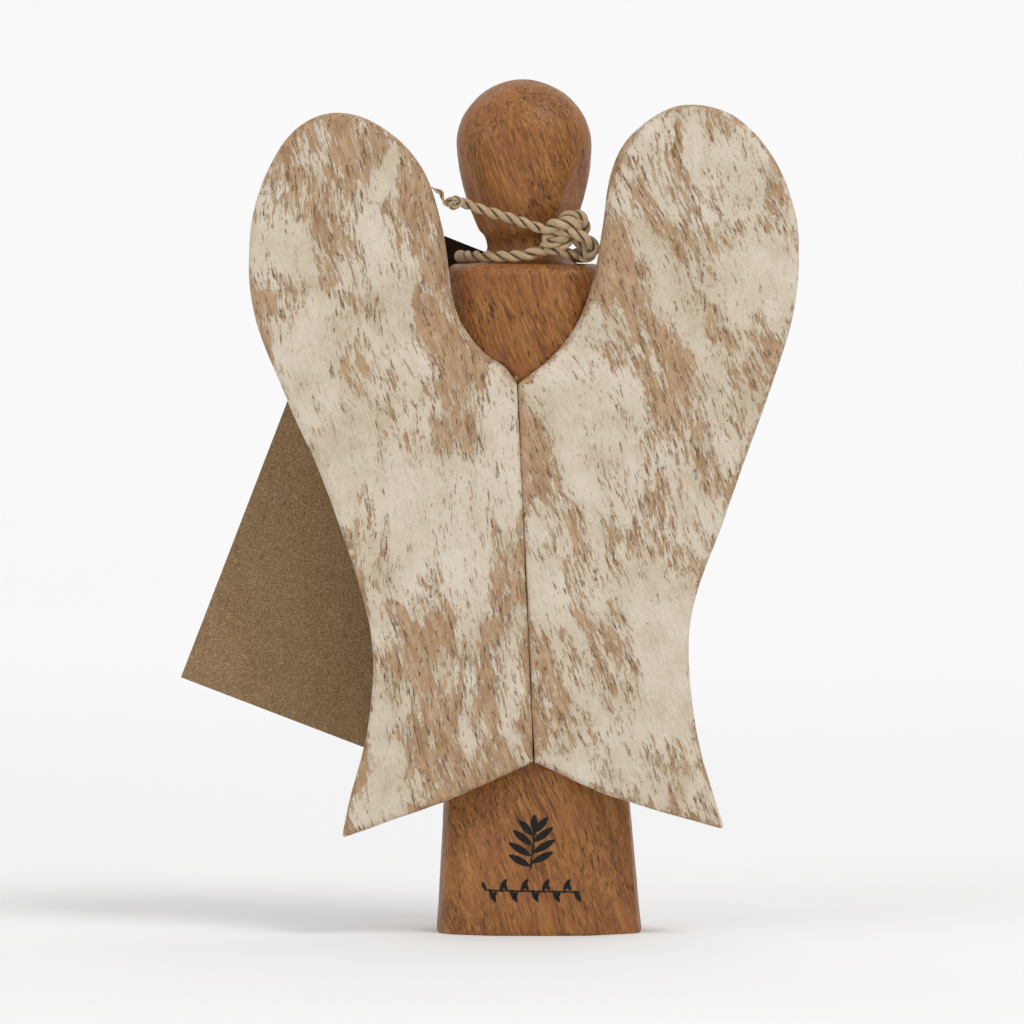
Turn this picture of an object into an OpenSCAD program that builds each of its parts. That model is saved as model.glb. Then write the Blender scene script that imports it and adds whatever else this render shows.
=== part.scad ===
// Carved wooden angel: a standing figure with two wings let into its back,
// and a card tag hung from a twisted twine tied round its neck.
// Millimetres. +Z is up, the figure looks along -Y, and the origin is the middle of its underside.

/* [Figure] */
// Height of the shoulders above the table
shoulder_h = 196; // [170:1:240]
// Width across the shoulders
shoulder_w = 48; // [42:0.5:58]
// Width of the gown at the table
base_w = 60.4; // [54:0.2:74]
// Depth of the gown at the table, front to middle
base_front = 21.5; // [18:0.5:27]
// Depth of the chest, front to middle
chest_front = 18; // [16:0.5:21.5]
// Depth from the middle to the flat back
back_depth = 21; // [19:0.5:26]
// Rounding of the shoulders
shoulder_round = 4; // [2:0.5:6]
// Easing of the edge that stands on the table
foot_ease = 0.8; // [0.3:0.1:2]
// How quickly the gown flares towards the table
gown_flare = 2.75; // [1.5:0.05:4]
// Sideways lean of the carving, degrees
lean = 1.1; // [0:0.1:2]

/* [Head] */
// Width of the neck
neck_w = 23.4; // [18:0.2:28.4]
// Depth of the neck
neck_d = 22; // [18:0.2:27]
// Radius where the neck meets the shoulders
neck_fillet = 4.5; // [3:0.5:6]
// Width of the head
head_w = 39.5; // [32:0.5:48]
// Depth of the head
head_d = 36; // [30:0.5:44]
// Height of the widest part of the head above the shoulders
head_rise = 34.7; // [29:0.1:42]
// Height of the crown above the widest part of the head
crown_h = 19.5; // [16:0.5:24]

/* [Arms] */
// Half width of the arms
arm_r = 4.6; // [4:0.1:6]
// Height of the arms above the gown
arm_proud = 2.8; // [1.5:0.1:3.5]
// Depth of the elbows below the shoulders
elbow_drop = 60; // [46:1:72]
// Depth of the heart below the shoulders
heart_below = 78; // [72:1:92]
// Radius of each lobe of the heart
lobe_r = 5; // [4:0.1:6]
// Height from the lobes of the heart down to its point
heart_h = 13; // [10:0.5:16]
// Height of the heart's face above the chest
heart_proud = 9; // [8:0.5:11]

/* [Wings] */
// Thickness of the wing boards
wing_t = 9; // [7.5:0.5:12]
// Depth that the wing boards are let into the back
seat_depth = 3; // [2:0.5:4]
// Depth of the wing tips below the shoulders
wing_drop = 168; // [140:1:168]
// Height of the foot of the seam above the wing tips
seam_low = 23; // [18:1:28]
// Height of the top of the seam above the wing tips
seam_high = 133.2; // [120:0.2:140]
// Length of the left wing, from its tip to its top
left_len = 212; // [190:1:240]
// Width of the left wing, from the seam foot to its widest place
left_w = 83; // [70:1:100]
// Length of the right wing, from its tip to its top
right_len = 214.6; // [190:0.2:240]
// Width of the right wing, from the seam foot to its widest place
right_w = 77; // [66:1:96]

/* [Dowels] */
// Diameter of the dowels that hold the wings
dowel_d = 6; // [4:0.5:8]
// Length of each dowel
dowel_l = 15; // [12:0.5:19]
// Depth of each dowel in its wing
dowel_bite = 5.5; // [4:0.5:6]
// Distance of the dowels from the seam
dowel_x = 12; // [8:0.5:14]
// Height of the lower dowels above the wing tips
dowel_low = 50; // [40:1:60]
// Height of the upper dowels above the wing tips
dowel_high = 106; // [82:1:112]
// Glue gap round every glued joint
glue_gap = 0.1; // [0.05:0.05:0.2]

/* [Tag and twine] */
// Depth of the tag's hole below the shoulders
hole_below = 0.3; // [0:0.1:2]
// Distance of the tag's hole in front of the chest
hole_front = 5.5; // [4.5:0.1:7]
// Distance of the tag's hole to the left of the middle
hole_x = 20.8; // [16:0.1:24]
// Width of the card tag
tag_w = 72; // [58:1:88]
// Length of the card tag
tag_l = 150; // [120:1:182]
// Thickness of the card
tag_t = 0.6; // [0.4:0.1:0.8]
// Diameter of the hole in the tag
hole_d = 5.4; // [4.6:0.1:7]
// Distance of the hole from the top edge of the tag
hole_drop = 5.2; // [4.4:0.1:6]
// Turn of the tag about the upright, degrees
tag_turn = 10; // [5:1:12]
// Gap between the edge of the tag and the heart that it rests against
rest_gap = 0.4; // [0.3:0.1:1]
// Diameter of the twine
twine_d = 3.6; // [3:0.1:4]

/* [Hidden] */

body_sides = 44;
skirt_rings = 8;
chest_rings = 22;
gown_square = 3.2;
head_square = 2.1;
plain_fn = 48;
knot_fn = 24;
root_depth = 4;

elbow_z = shoulder_h - elbow_drop;
heart_z = shoulder_h - heart_below;
wing_z = shoulder_h - wing_drop;
neck_z = shoulder_h + neck_fillet;
head_z = shoulder_h + head_rise;

// Wings lie against the floor of the recess in the back.
seat_y = back_depth - seat_depth;
seam_foot = [1.6, wing_z + seam_low];
seam_top = [6.4, wing_z + seam_high];
edge_steps = 4;
curve_steps = 7;

// Each wing point is its distance out from the seam foot as a share of the wing's width, its
// height above the tips as a share of the wing's length, and the rounding of the back arris in mm.
left_side = [[0.105, 0.652, 2.8], [0.169, 0.669, 4.2], [0.232, 0.698, 4.6], [0.283, 0.742, 4.4],
             [0.32, 0.84, 4], [0.395, 0.925, 3.2], [0.54, 0.982, 2.6], [0.70, 1.0, 2.4], [0.85, 0.972, 2.2],
             [0.96, 0.895, 2.2], [1.0, 0.80, 2.2], [0.975, 0.715, 2.2], [0.87, 0.61, 2],
             [0.715, 0.47, 1.8], [0.575, 0.29, 1.6], [0.58, 0.165, 1.4], [0.648, 0.055, 0.8],
             [0.675, 0.004, 0.35]];
left_hem = [[0.675, 0.004, 0.35], [0.525, 0.025, 0.6], [0.32, 0.053, 0.8], [0, 0.1085, 1.2]];
right_side = [[0.06, 0.655, 3], [0.158, 0.699, 4.6], [0.222, 0.76, 4.4], [0.258, 0.83, 4],
              [0.29, 0.905, 3.4], [0.36, 0.955, 2.6], [0.50, 0.992, 2.4], [0.625, 0.998, 2.4],
              [0.77, 0.98, 2.2], [0.90, 0.93, 2.2], [0.982, 0.86, 2], [1.0, 0.79, 2],
              [0.975, 0.71, 2], [0.88, 0.60, 2], [0.72, 0.44, 1.8], [0.61, 0.33, 1.6],
              [0.585, 0.25, 1.6], [0.62, 0.14, 1.4], [0.68, 0.06, 0.5], [0.72, 0.016, 0.3]];
right_hem = [[0.72, 0.016, 0.3], [0.46, 0.042, 0.5], [0.25, 0.067, 0.8],
             [0, 0.1072, 1.2]];

// The tag's hole, where the twine carries it.
hole_at = [hole_x, -chest_front - hole_front, shoulder_h - hole_below];

// Routes of the twine, chosen by hand.
loop_route = [[-2, 16.8, 200.4], [3, 17, 198.8], [8.5, 16.2, 198.2], [14.5, 13.4, 198.1],
              [19.5, 8.6, 198.1], [22.4, 2.4, 198.1], [23.2, -4.4, 198.1], [23, -11, 198.1],
              [22.2, -17, 197.4], [21.4, -21, 196.3], [20.8, -23.5, 195.7], [19.6, -26.6, 195.9],
              [15.8, -30.2, 196.8], [10.6, -30.8, 198], [6.6, -27.8, 199.2], [4.8, -22.8, 199.6],
              [2, -18.4, 199], [-3.2, -16, 198.3], [-8.4, -12.4, 198.1], [-11.6, -6.6, 198.1],
              [-12.6, 0, 198.1], [-12.6, 6.4, 198.4], [-12, 12, 199.4]];
tail_route = [[-3.5, 17.8, 205.2], [2, 18.6, 207.2], [8, 19.2, 209.2], [14, 20.2, 211],
              [19, 21.6, 212.6], [23, 23.5, 214.2]];
tail_knot_at = [24.6, 24.3, 214.9];

// Smooth curve through points, as a Catmull-Rom spline that ends on its first and last points.
function spline_point(a, b, c, d, t) =
    0.5 * (2 * b + (c - a) * t + (2 * a - 5 * b + 4 * c - d) * t * t
           + (3 * b - a - 3 * c + d) * t * t * t);
function curve(points, steps) =
    let (last = len(points) - 1)
    [for (i = [0 : last - 1], s = [0 : steps - 1])
        spline_point(points[max(i - 1, 0)], points[i], points[i + 1],
                     points[min(i + 2, last)], s / steps),
     points[last]];
function unit(v) = v / norm(v);
function without_last(points) = [for (i = [0 : len(points) - 2]) points[i]];

// Skin over rings that all have the same number of points, closed by a flat face at each end.
module loft(rings) {
    sides = len(rings[0]);
    last = len(rings) - 1;
    polyhedron(points = [for (ring = rings, p = ring) p],
               faces = concat([[for (i = [0 : sides - 1]) i]],
                              [for (r = [0 : last - 1], i = [0 : sides - 1], half = [0, 1])
                                  let (a = r * sides + i, b = r * sides + (i + 1) % sides)
                                  half == 0 ? [a, a + sides, b] : [b, a + sides, b + sides]],
                              [[for (i = [sides - 1 : -1 : 0]) last * sides + i]]),
               convexity = 8);
}

// Body section at height z: a rounded rectangle whose middle follows the lean.
function rounded(value, square) = sign(value) * pow(abs(value), 2 / square);
function body_ring(z, half_w, front, back, square) =
    [for (i = [0 : body_sides - 1])
        let (a = 360 * i / body_sides, y = rounded(sin(a), square))
        [z * tan(lean) + half_w * rounded(cos(a), square), y * (y < 0 ? front : back), z]];

function flare(z) = pow(1 - z / shoulder_h, gown_flare);
function gown_half(z) = (shoulder_w + (base_w - shoulder_w) * flare(z)) / 2;
function gown_front(z) = chest_front + (base_front - chest_front) * flare(z);
function gown_ring(z, inset = 0) =
    body_ring(z, gown_half(z) - inset, gown_front(z) - inset, back_depth - inset, gown_square);

// Arms in low relief: each runs from shoulder to elbow to hand, and the skin near it swells outwards.
function on_lean(x, y, z) = [x + z * tan(lean), y, z];
gown_top = shoulder_h - shoulder_round;
lobe_x = lobe_r - 0.4;
function arm_line(side) =
    [on_lean(side * shoulder_w / 2, -3, gown_top - arm_r),
     on_lean(side * (gown_half(elbow_z) - 1), -9, elbow_z),
     on_lean(side * (lobe_x + 1), -chest_front, heart_z - 4)];
function to_line(p, a, b) =
    let (t = min(max((p - a) * (b - a) / ((b - a) * (b - a)), 0), 1)) norm(p - a - t * (b - a));
function to_arm(p, line) = min(to_line(p, line[0], line[1]), to_line(p, line[1], line[2]));
function ease(t) = let (u = min(max(t, 0), 1)) u * u * (3 - 2 * u);
function carved(p) =
    let (near = min(to_arm(p, arm_line(1)), to_arm(p, arm_line(-1))),
         out = unit([p[0] - p[2] * tan(lean), p[1], 0]))
    p + arm_proud * ease((arm_r + 2 - near) / 4.5) * out;
function carved_ring(z) = [for (p = gown_ring(z)) carved(p)];

chest_low = heart_z - 16;
function skirt_z(i) = foot_ease + (chest_low - foot_ease) * i / skirt_rings;
function chest_z(i) = chest_low + (gown_top - chest_low) * i / chest_rings;
gown = concat([gown_ring(0, foot_ease)],
              [for (i = [0 : skirt_rings - 1]) gown_ring(skirt_z(i))],
              [for (i = [0 : chest_rings]) carved_ring(chest_z(i))]);
shoulders = [for (a = [22.5 : 22.5 : 90])
    gown_ring(gown_top + shoulder_round * sin(a), shoulder_round * (1 - cos(a)))];
neck = [for (a = [15 : 25 : 90])
    let (out = neck_fillet * (1 - sin(a)))
    body_ring(shoulder_h + neck_fillet * (1 - cos(a)), neck_w / 2 + out, neck_d / 2 + out,
              neck_d / 2 + out, head_square)];
function swell(neck_size, head_size, t) = (neck_size + (head_size - neck_size) * sin(90 * t)) / 2;
face = [for (t = [0.125 : 0.125 : 1])
    let (depth = swell(neck_d, head_d, t))
    body_ring(neck_z + (head_z - neck_z) * t, swell(neck_w, head_w, t), depth, depth, head_square)];
crown = [for (a = [15, 30, 45, 60, 72, 81, 87])
    body_ring(head_z + crown_h * sin(a), head_w / 2 * cos(a), head_d / 2 * cos(a),
              head_d / 2 * cos(a), head_square)];

// Outline of a wing, anticlockwise as it is looked at from behind the figure.
function wing_points(shares, side, width, length) =
    [for (p = shares) [seam_foot[0] + side * width * p[0], wing_z + length * p[1], p[2]]];
function wing_outline(edge, hem, side, width, length) =
    concat(without_last(curve(concat([[seam_top[0], seam_top[1], 1.2]],
                                     wing_points(edge, side, width, length)), curve_steps)),
           without_last(curve(wing_points(hem, side, width, length), 3)),
           [[seam_foot[0], seam_foot[1], 1.2]]);
left_outline = wing_outline(left_side, left_hem, 1, left_w, left_len);
right_outline = wing_outline(right_side, right_hem, -1, right_w, right_len);

// Inward mitre at each outline point, for a wing on the given side.
function across(a, b, side) = let (d = unit([b[0] - a[0], b[1] - a[1]])) side * [d[1], -d[0]];
function mitre(outline, i, side) =
    let (n = len(outline),
         before = across(outline[(i + n - 1) % n], outline[i], side),
         after = across(outline[i], outline[(i + 1) % n], side))
    (before + after) / (1 + before * after);
function wing_ring(outline, side, angle) =
    [for (i = [0 : len(outline) - 1])
        let (p = outline[i], inward = mitre(outline, i, side) * p[2] * (1 - cos(angle)))
        [p[0] + inward[0], seat_y + wing_t - p[2] * (1 - sin(angle)), p[1] + inward[1]]];
function wing_front(outline, sunk) = [for (p = outline) [p[0], seat_y + sunk, p[1]]];
function flat(outline) = [for (p = outline) [p[0], p[1]]];
function in_order(ring, side) = side > 0 ? ring : [for (i = [len(ring) - 1 : -1 : 0]) ring[i]];

// A board whose back arris is rounded. Where sunk isn't 0, the rounded part starts that deep inside a
// flat board, which then makes the whole front face.
module wing_board(outline, side, sunk = 0) {
    if (sunk > 0)
        translate([0, seat_y + wing_t - 4.8, 0]) rotate([90, 0, 0])
            linear_extrude(wing_t - 4.8) polygon(flat(outline));
    loft(concat([in_order(wing_front(outline, sunk), side)],
                [for (a = [0 : 90 / edge_steps : 90]) in_order(wing_ring(outline, side, a), side)]));
}

// Recess in the back that a wing drops into.
module wing_seat(outline) {
    translate([0, back_depth + 1, 0]) rotate([90, 0, 0]) linear_extrude(seat_depth + 1)
        offset(delta = glue_gap) polygon(flat(outline));
}

// What stands at the dowels of one wing: bores or the dowels themselves.
module at_dowels(side) {
    for (z = [dowel_low, dowel_high])
        let (climb = (z - seam_low) / (seam_high - seam_low),
             seam_x = seam_foot[0] + (seam_top[0] - seam_foot[0]) * climb)
        translate([seam_x + side * dowel_x, seat_y + dowel_bite, wing_z + z]) rotate([90, 0, 0]) children();
}
module dowel(gap = 0) {
    translate([0, 0, -gap]) cylinder(d = dowel_d + 2 * gap, h = dowel_l + 2 * gap, $fn = plain_fn);
}

// Heart in relief: two round lobes and straight sides that run to a point.
heart_reach = norm([lobe_x, heart_h]);
heart_side = atan2(heart_h, lobe_x) - asin(lobe_r / heart_reach);
heart_tangent = sqrt(heart_reach * heart_reach - lobe_r * lobe_r) * [cos(heart_side), sin(heart_side)];
module heart() {
    translate(on_lean(0, root_depth - chest_front, heart_z)) rotate([90, 0, 0])
        linear_extrude(heart_proud + root_depth) {
            for (side = [1, -1]) translate([side * lobe_x, 0]) circle(r = lobe_r, $fn = plain_fn);
            polygon([[0, -heart_h], [heart_tangent[0], heart_tangent[1] - heart_h],
                     [lobe_x, 0], [-lobe_x, 0], [-heart_tangent[0], heart_tangent[1] - heart_h]]);
        }
}

module body() {
    color("peru") difference() {
        union() {
            loft(concat(gown, shoulders, neck, face, crown));
            heart();
        }
        wing_seat(left_outline);
        wing_seat(right_outline);
        at_dowels(1) dowel(glue_gap);
        at_dowels(-1) dowel(glue_gap);
    }
}

module wing_left() {
    color("antiquewhite") difference() {
        wing_board(left_outline, 1);
        at_dowels(1) dowel(glue_gap);
    }
}

module wing_right() {
    color("antiquewhite") difference() {
        wing_board(right_outline, -1, 1);
        at_dowels(-1) dowel(glue_gap);
    }
}

module wing_dowels_left() {
    color("burlywood") at_dowels(1) dowel();
}

module wing_dowels_right() {
    color("burlywood") at_dowels(-1) dowel();
}

// Twine swept along its route.
twine_sides = 8;
function heading(route, i) = unit(route[min(i + 1, len(route) - 1)] - route[max(i - 1, 0)]);
function twine_ring(route, i) =
    let (ahead = heading(route, i), level = unit(cross(ahead, [0, 0, 1])), up = cross(level, ahead))
    [for (k = [0 : twine_sides - 1])
        let (a = -360 * k / twine_sides)
        route[i] + twine_d / 2 * (cos(a) * level + sin(a) * up)];
module twine(route) {
    loft([for (i = [0 : len(route) - 1]) twine_ring(route, i)]);
}

module neck_twine() {
    color("darkkhaki") twine(loop_route);
}

module twine_knot() {
    color("darkkhaki") hull() {
        translate([-4.6, 17.6, 206]) sphere(r = 3.6, $fn = knot_fn);
        translate([-11.6, 17.4, 207]) sphere(r = 3.4, $fn = knot_fn);
        translate([-13, 16.6, 200.4]) sphere(r = 3.4, $fn = knot_fn);
        translate([-4.8, 17.4, 200.4]) sphere(r = 3.4, $fn = knot_fn);
    }
}

module twine_tail() {
    color("darkkhaki") twine(tail_route);
}

module tail_knot() {
    color("darkkhaki") translate(tail_knot_at) sphere(d = twine_d + 1.4, $fn = plain_fn);
}

// The tag hangs at the tilt at which its long edge rests against the nearer lobe of the heart.
lobe_from_hole = [(lobe_x + heart_z * tan(lean) - hole_at[0]) / cos(tag_turn), heart_z - hole_at[2]];
tag_tilt = asin((tag_w / 2 + lobe_r + rest_gap) / norm(lobe_from_hole))
           - atan2(-lobe_from_hole[0], -lobe_from_hole[1]);
module hang_tag() {
    color("tan") translate(hole_at) rotate([0, -tag_tilt, tag_turn]) difference() {
        translate([-tag_w / 2, -tag_t / 2, hole_drop - tag_l]) cube([tag_w, tag_t, tag_l]);
        translate([0, tag_t, 0]) rotate([90, 0, 0]) cylinder(d = hole_d, h = 2 * tag_t, $fn = plain_fn);
    }
}

body();
wing_left();
wing_right();
wing_dowels_left();
wing_dowels_right();
neck_twine();
twine_knot();
twine_tail();
tail_knot();
hang_tag();
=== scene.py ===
"""Carved wooden angel with whitewashed wings, a twisted twine collar and a plain card tag."""
import math
import random

import bpy
from mathutils import Matrix, Vector
from mathutils.kdtree import KDTree


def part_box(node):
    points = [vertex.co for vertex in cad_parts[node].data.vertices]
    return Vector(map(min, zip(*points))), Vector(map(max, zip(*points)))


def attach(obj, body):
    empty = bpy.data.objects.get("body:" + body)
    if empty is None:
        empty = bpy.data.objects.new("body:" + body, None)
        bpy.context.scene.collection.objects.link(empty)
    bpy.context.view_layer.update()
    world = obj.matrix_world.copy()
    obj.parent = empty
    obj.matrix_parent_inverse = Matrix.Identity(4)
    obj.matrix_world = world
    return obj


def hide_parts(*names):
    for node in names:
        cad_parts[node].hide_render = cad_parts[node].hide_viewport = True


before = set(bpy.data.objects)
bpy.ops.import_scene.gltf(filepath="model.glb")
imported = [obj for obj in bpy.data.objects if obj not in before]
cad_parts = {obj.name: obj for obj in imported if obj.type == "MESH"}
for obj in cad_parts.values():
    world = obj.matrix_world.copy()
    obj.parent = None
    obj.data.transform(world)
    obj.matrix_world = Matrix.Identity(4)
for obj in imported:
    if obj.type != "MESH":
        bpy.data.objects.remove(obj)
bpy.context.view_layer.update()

MM = 0.001
ON_FLAT = 0.00001
scene = bpy.context.scene
FIGURE, TAG = "figure", "tag"


# ---------- camera ----------

def look_at(target, distance, elevation, field):
    """Camera behind the figure, looking along -Y, with the given field across at the target."""
    up = math.radians(elevation)
    place = Vector(target) + distance * Vector((0, math.cos(up), math.sin(up)))
    bpy.ops.object.camera_add(location=place)
    camera = bpy.context.object
    camera.rotation_euler = (Vector(target) - place).to_track_quat("-Z", "Y").to_euler()
    camera.data.sensor_width = 36
    camera.data.lens = 36 * distance / field
    scene.camera = camera


wing_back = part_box("wing_left")[1].y
look_at((0.008, wing_back, 0.124), distance=2.4, elevation=2.0, field=0.2977)


# ---------- small helpers for meshes ----------

def deselect():
    bpy.ops.object.select_all(action="DESELECT")


def pick(obj):
    """Select one object alone and make it the active one."""
    deselect()
    obj.select_set(True)
    bpy.context.view_layer.objects.active = obj


def name_piece(obj, name, material, slot, body, *nodes):
    """Name a finished piece, give it its finish and say which body carries it."""
    obj.name = obj.data.name = name
    obj.data.materials.clear()
    obj.data.materials.append(material)
    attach(obj, body)
    if nodes:
        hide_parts(*nodes)
    return obj


def apply_place(obj):
    """Work an object's place, turn and scale into its mesh."""
    pick(obj)
    bpy.ops.object.transform_apply(location=True, rotation=True, scale=True)


def modify(obj, kind, **settings):
    """Add a modifier with its settings and apply it."""
    pick(obj)
    modifier = obj.modifiers.new(kind.title(), kind)
    for key, value in settings.items():
        setattr(modifier, key, value)
    bpy.ops.object.modifier_apply(modifier=modifier.name)


def choose_none(kind):
    """Clear the active mesh's selection, with its faces or its edges ready to be chosen."""
    bpy.ops.object.mode_set(mode="EDIT")
    bpy.ops.mesh.select_mode(type=kind)
    bpy.ops.mesh.select_all(action="DESELECT")
    bpy.ops.object.mode_set(mode="OBJECT")


def join(parts):
    """One object from several."""
    deselect()
    for part in parts:
        part.select_set(True)
    bpy.context.view_layer.objects.active = parts[0]
    bpy.ops.object.join()
    return bpy.context.object


def merged_copy(node):
    """A copy of a CAD node's mesh with its loose triangles joined."""
    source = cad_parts[node]
    deselect()
    copy = source.copy()
    copy.data = source.data.copy()
    copy.parent = None
    copy.matrix_world = Matrix()
    scene.collection.objects.link(copy)
    copy.hide_render = False
    pick(copy)
    bpy.ops.object.mode_set(mode="EDIT")
    bpy.ops.mesh.select_all(action="SELECT")
    bpy.ops.mesh.remove_doubles(threshold=ON_FLAT)
    bpy.ops.object.mode_set(mode="OBJECT")
    for key in list(copy.keys()):
        del copy[key]
    return copy


def spline(points, spacing):
    """Evenly spaced points on a smooth curve through the given ones."""
    points = [Vector(p) for p in points]
    last = len(points) - 1
    fine = []
    for i in range(last):
        a, b, c, d = points[max(i - 1, 0)], points[i], points[i + 1], points[min(i + 2, last)]
        for s in range(16):
            t = s / 16
            fine.append(0.5 * (2 * b + (c - a) * t + (2 * a - 5 * b + 4 * c - d) * t * t
                               + (3 * b - a - 3 * c + d) * t ** 3))
    fine.append(points[-1])
    lengths = [0]
    for a, b in zip(fine, fine[1:]):
        lengths.append(lengths[-1] + (b - a).length)
    count = max(2, round(lengths[-1] / spacing))
    even, j = [], 0
    for k in range(count + 1):
        want = lengths[-1] * k / count
        while j < len(fine) - 2 and lengths[j + 1] < want:
            j += 1
        share = (want - lengths[j]) / max(lengths[j + 1] - lengths[j], 1e-9)
        even.append(fine[j].lerp(fine[j + 1], share))
    return even, lengths[-1]


# ---------- materials ----------

class Finish:
    """One material: a Principled shader and short calls that add and join its nodes."""

    def __init__(self, name, **sockets):
        self.material = bpy.data.materials.new(name)
        self.material.use_nodes = True
        self.tree = self.material.node_tree
        self.tree.nodes.clear()
        self.shader = self.tree.nodes.new("ShaderNodeBsdfPrincipled")
        output = self.tree.nodes.new("ShaderNodeOutputMaterial")
        self.tree.links.new(self.shader.outputs[0], output.inputs[0])
        self.object = self.node("TexCoord").outputs["Object"]
        for key, value in sockets.items():
            self.put(self.shader, key.replace("_", " "), value)

    def put(self, node, key, value):
        """Join a socket to another node, or set it to a plain value."""
        socket = node.inputs[key]
        if isinstance(value, bpy.types.NodeSocket):
            self.tree.links.new(value, socket)
        elif isinstance(value, bpy.types.Node):
            self.tree.links.new(value.outputs[0], socket)
        else:
            socket.default_value = value

    def node(self, kind, values=(), **settings):
        node = self.tree.nodes.new("ShaderNode" + kind)
        for key, value in settings.items():
            setattr(node, key, value)
        for key, value in dict(values).items():
            self.put(node, key, value)
        return node

    def math(self, operation, a, b=0.0, c=0.0, clamp=False):
        return self.node("Math", {0: a, 1: b, 2: c}, operation=operation, use_clamp=clamp)

    def turned(self, place, turn=(0, 0, 0), stretch=(1, 1, 1)):
        """The pattern space turned, then stretched."""
        turned = self.node("Mapping", {"Vector": place, "Rotation": [math.radians(a) for a in turn]})
        return self.node("Mapping", {"Vector": turned, "Scale": stretch})

    def grain(self, place, lean, draw):
        """The pattern space along a leaning grain, its marks drawn out lengthwise by 1 / draw."""
        return self.turned(place, (0, lean, 0), (1, 1, draw))

    def noise(self, place, scale, detail=2.0, roughness=0.5, distortion=0.0, kind="Fac"):
        node = self.node("TexNoise", {"Vector": place, "Scale": scale, "Detail": detail,
                                      "Roughness": roughness, "Distortion": distortion})
        return node.outputs[kind]

    def bent(self, place, scale, amount):
        """The pattern space pushed about by a slow noise, so that grain runs in curves."""
        wander = self.noise(place, scale, 1.0, kind="Color")
        centred = self.node("VectorMath", {0: wander, 1: (0.5, 0.5, 0.5)}, operation="SUBTRACT")
        pushed = self.node("VectorMath", {0: centred, 1: amount}, operation="MULTIPLY")
        return self.node("VectorMath", {0: place, 1: pushed}, operation="ADD")

    def step(self, value, start, end, low=0.0, high=1.0):
        """A soft step from low to high as the value goes from start to end."""
        return self.node("MapRange", {"Value": value, "From Min": start, "From Max": end,
                                      "To Min": low, "To Max": high}, interpolation_type="SMOOTHSTEP")

    def ramp(self, value, *stops):
        """Colours blended along the value, each stop a place and a colour."""
        node = self.node("ValToRGB", {"Fac": value})
        line = node.color_ramp
        while len(line.elements) < len(stops):
            line.elements.new(0.5)
        for element, (place, colour) in zip(line.elements, stops):
            element.position = place
            element.color = (*colour, 1)
        return node

    def mix(self, share, a, b, blend="MIX"):
        node = self.node("Mix", data_type="RGBA", blend_type=blend)
        for key, value in ((0, share), (6, a), (7, b)):
            if isinstance(value, tuple):
                value = (*value, 1)
            self.put(node, key, value)
        return node.outputs[2]

    def attribute(self, name):
        """A value stored with each corner of the mesh."""
        return self.node("Attribute", attribute_name=name).outputs["Fac"]

    def bump(self, height, distance, strength=1.0):
        """Raise the surface by a height in metres."""
        bump = self.node("Bump", {"Height": height, "Distance": distance, "Strength": strength})
        self.put(self.shader, "Normal", bump)


BODY_GRAIN = -20


def brown_wood():
    """Oiled brown hardwood: slow bands, fine fibres and dark open pores along a leaning grain."""
    f = Finish("brown wood", Specular_IOR_Level=0.32)
    bent = f.bent(f.object, 28, (0.006, 0.006, 0))
    grain = f.grain(bent, BODY_GRAIN, 0.10)
    bands = f.noise(grain, 190, 5, 0.68, 0.7)
    fibres = f.noise(grain, 1700, 3, 0.75)
    wood = f.ramp(bands, (0.30, (0.125, 0.037, 0.007)), (0.50, (0.265, 0.098, 0.021)),
                  (0.72, (0.42, 0.190, 0.055)))
    wood = f.mix(f.step(fibres, 0.42, 0.72, 0.0, 0.6), wood.outputs[0], (0.54, 0.265, 0.085))
    dark = f.step(f.noise(f.grain(bent, BODY_GRAIN, 0.07), 1100, 3, 0.7), 0.50, 0.66)
    wood = f.mix(f.math("MULTIPLY", dark, 0.55), wood, (0.085, 0.026, 0.008))
    short = f.grain(bent, BODY_GRAIN, 0.16)
    pores = f.step(f.noise(short, 1500, 2, 0.6), 0.58, 0.66)
    where = f.step(f.noise(f.object, 95, 3, 0.6), 0.36, 0.60, 0.3, 1.0)
    pores = f.math("MULTIPLY", pores, where)
    wood = f.mix(f.math("MULTIPLY", pores, 0.85), wood, (0.035, 0.012, 0.005))
    blush = f.step(f.noise(f.object, 60, 2, 0.5), 0.45, 0.7, 0.0, 0.35)
    wood = f.mix(blush, wood, (0.34, 0.120, 0.048))
    f.put(f.shader, "Base Color", wood)
    height = f.math("SUBTRACT", f.math("MULTIPLY", fibres, 0.45), pores)
    f.bump(height, 0.00014, 0.9)
    f.put(f.shader, "Roughness", f.step(fibres, 0.3, 0.7, 0.34, 0.55))
    return f.material


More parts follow.
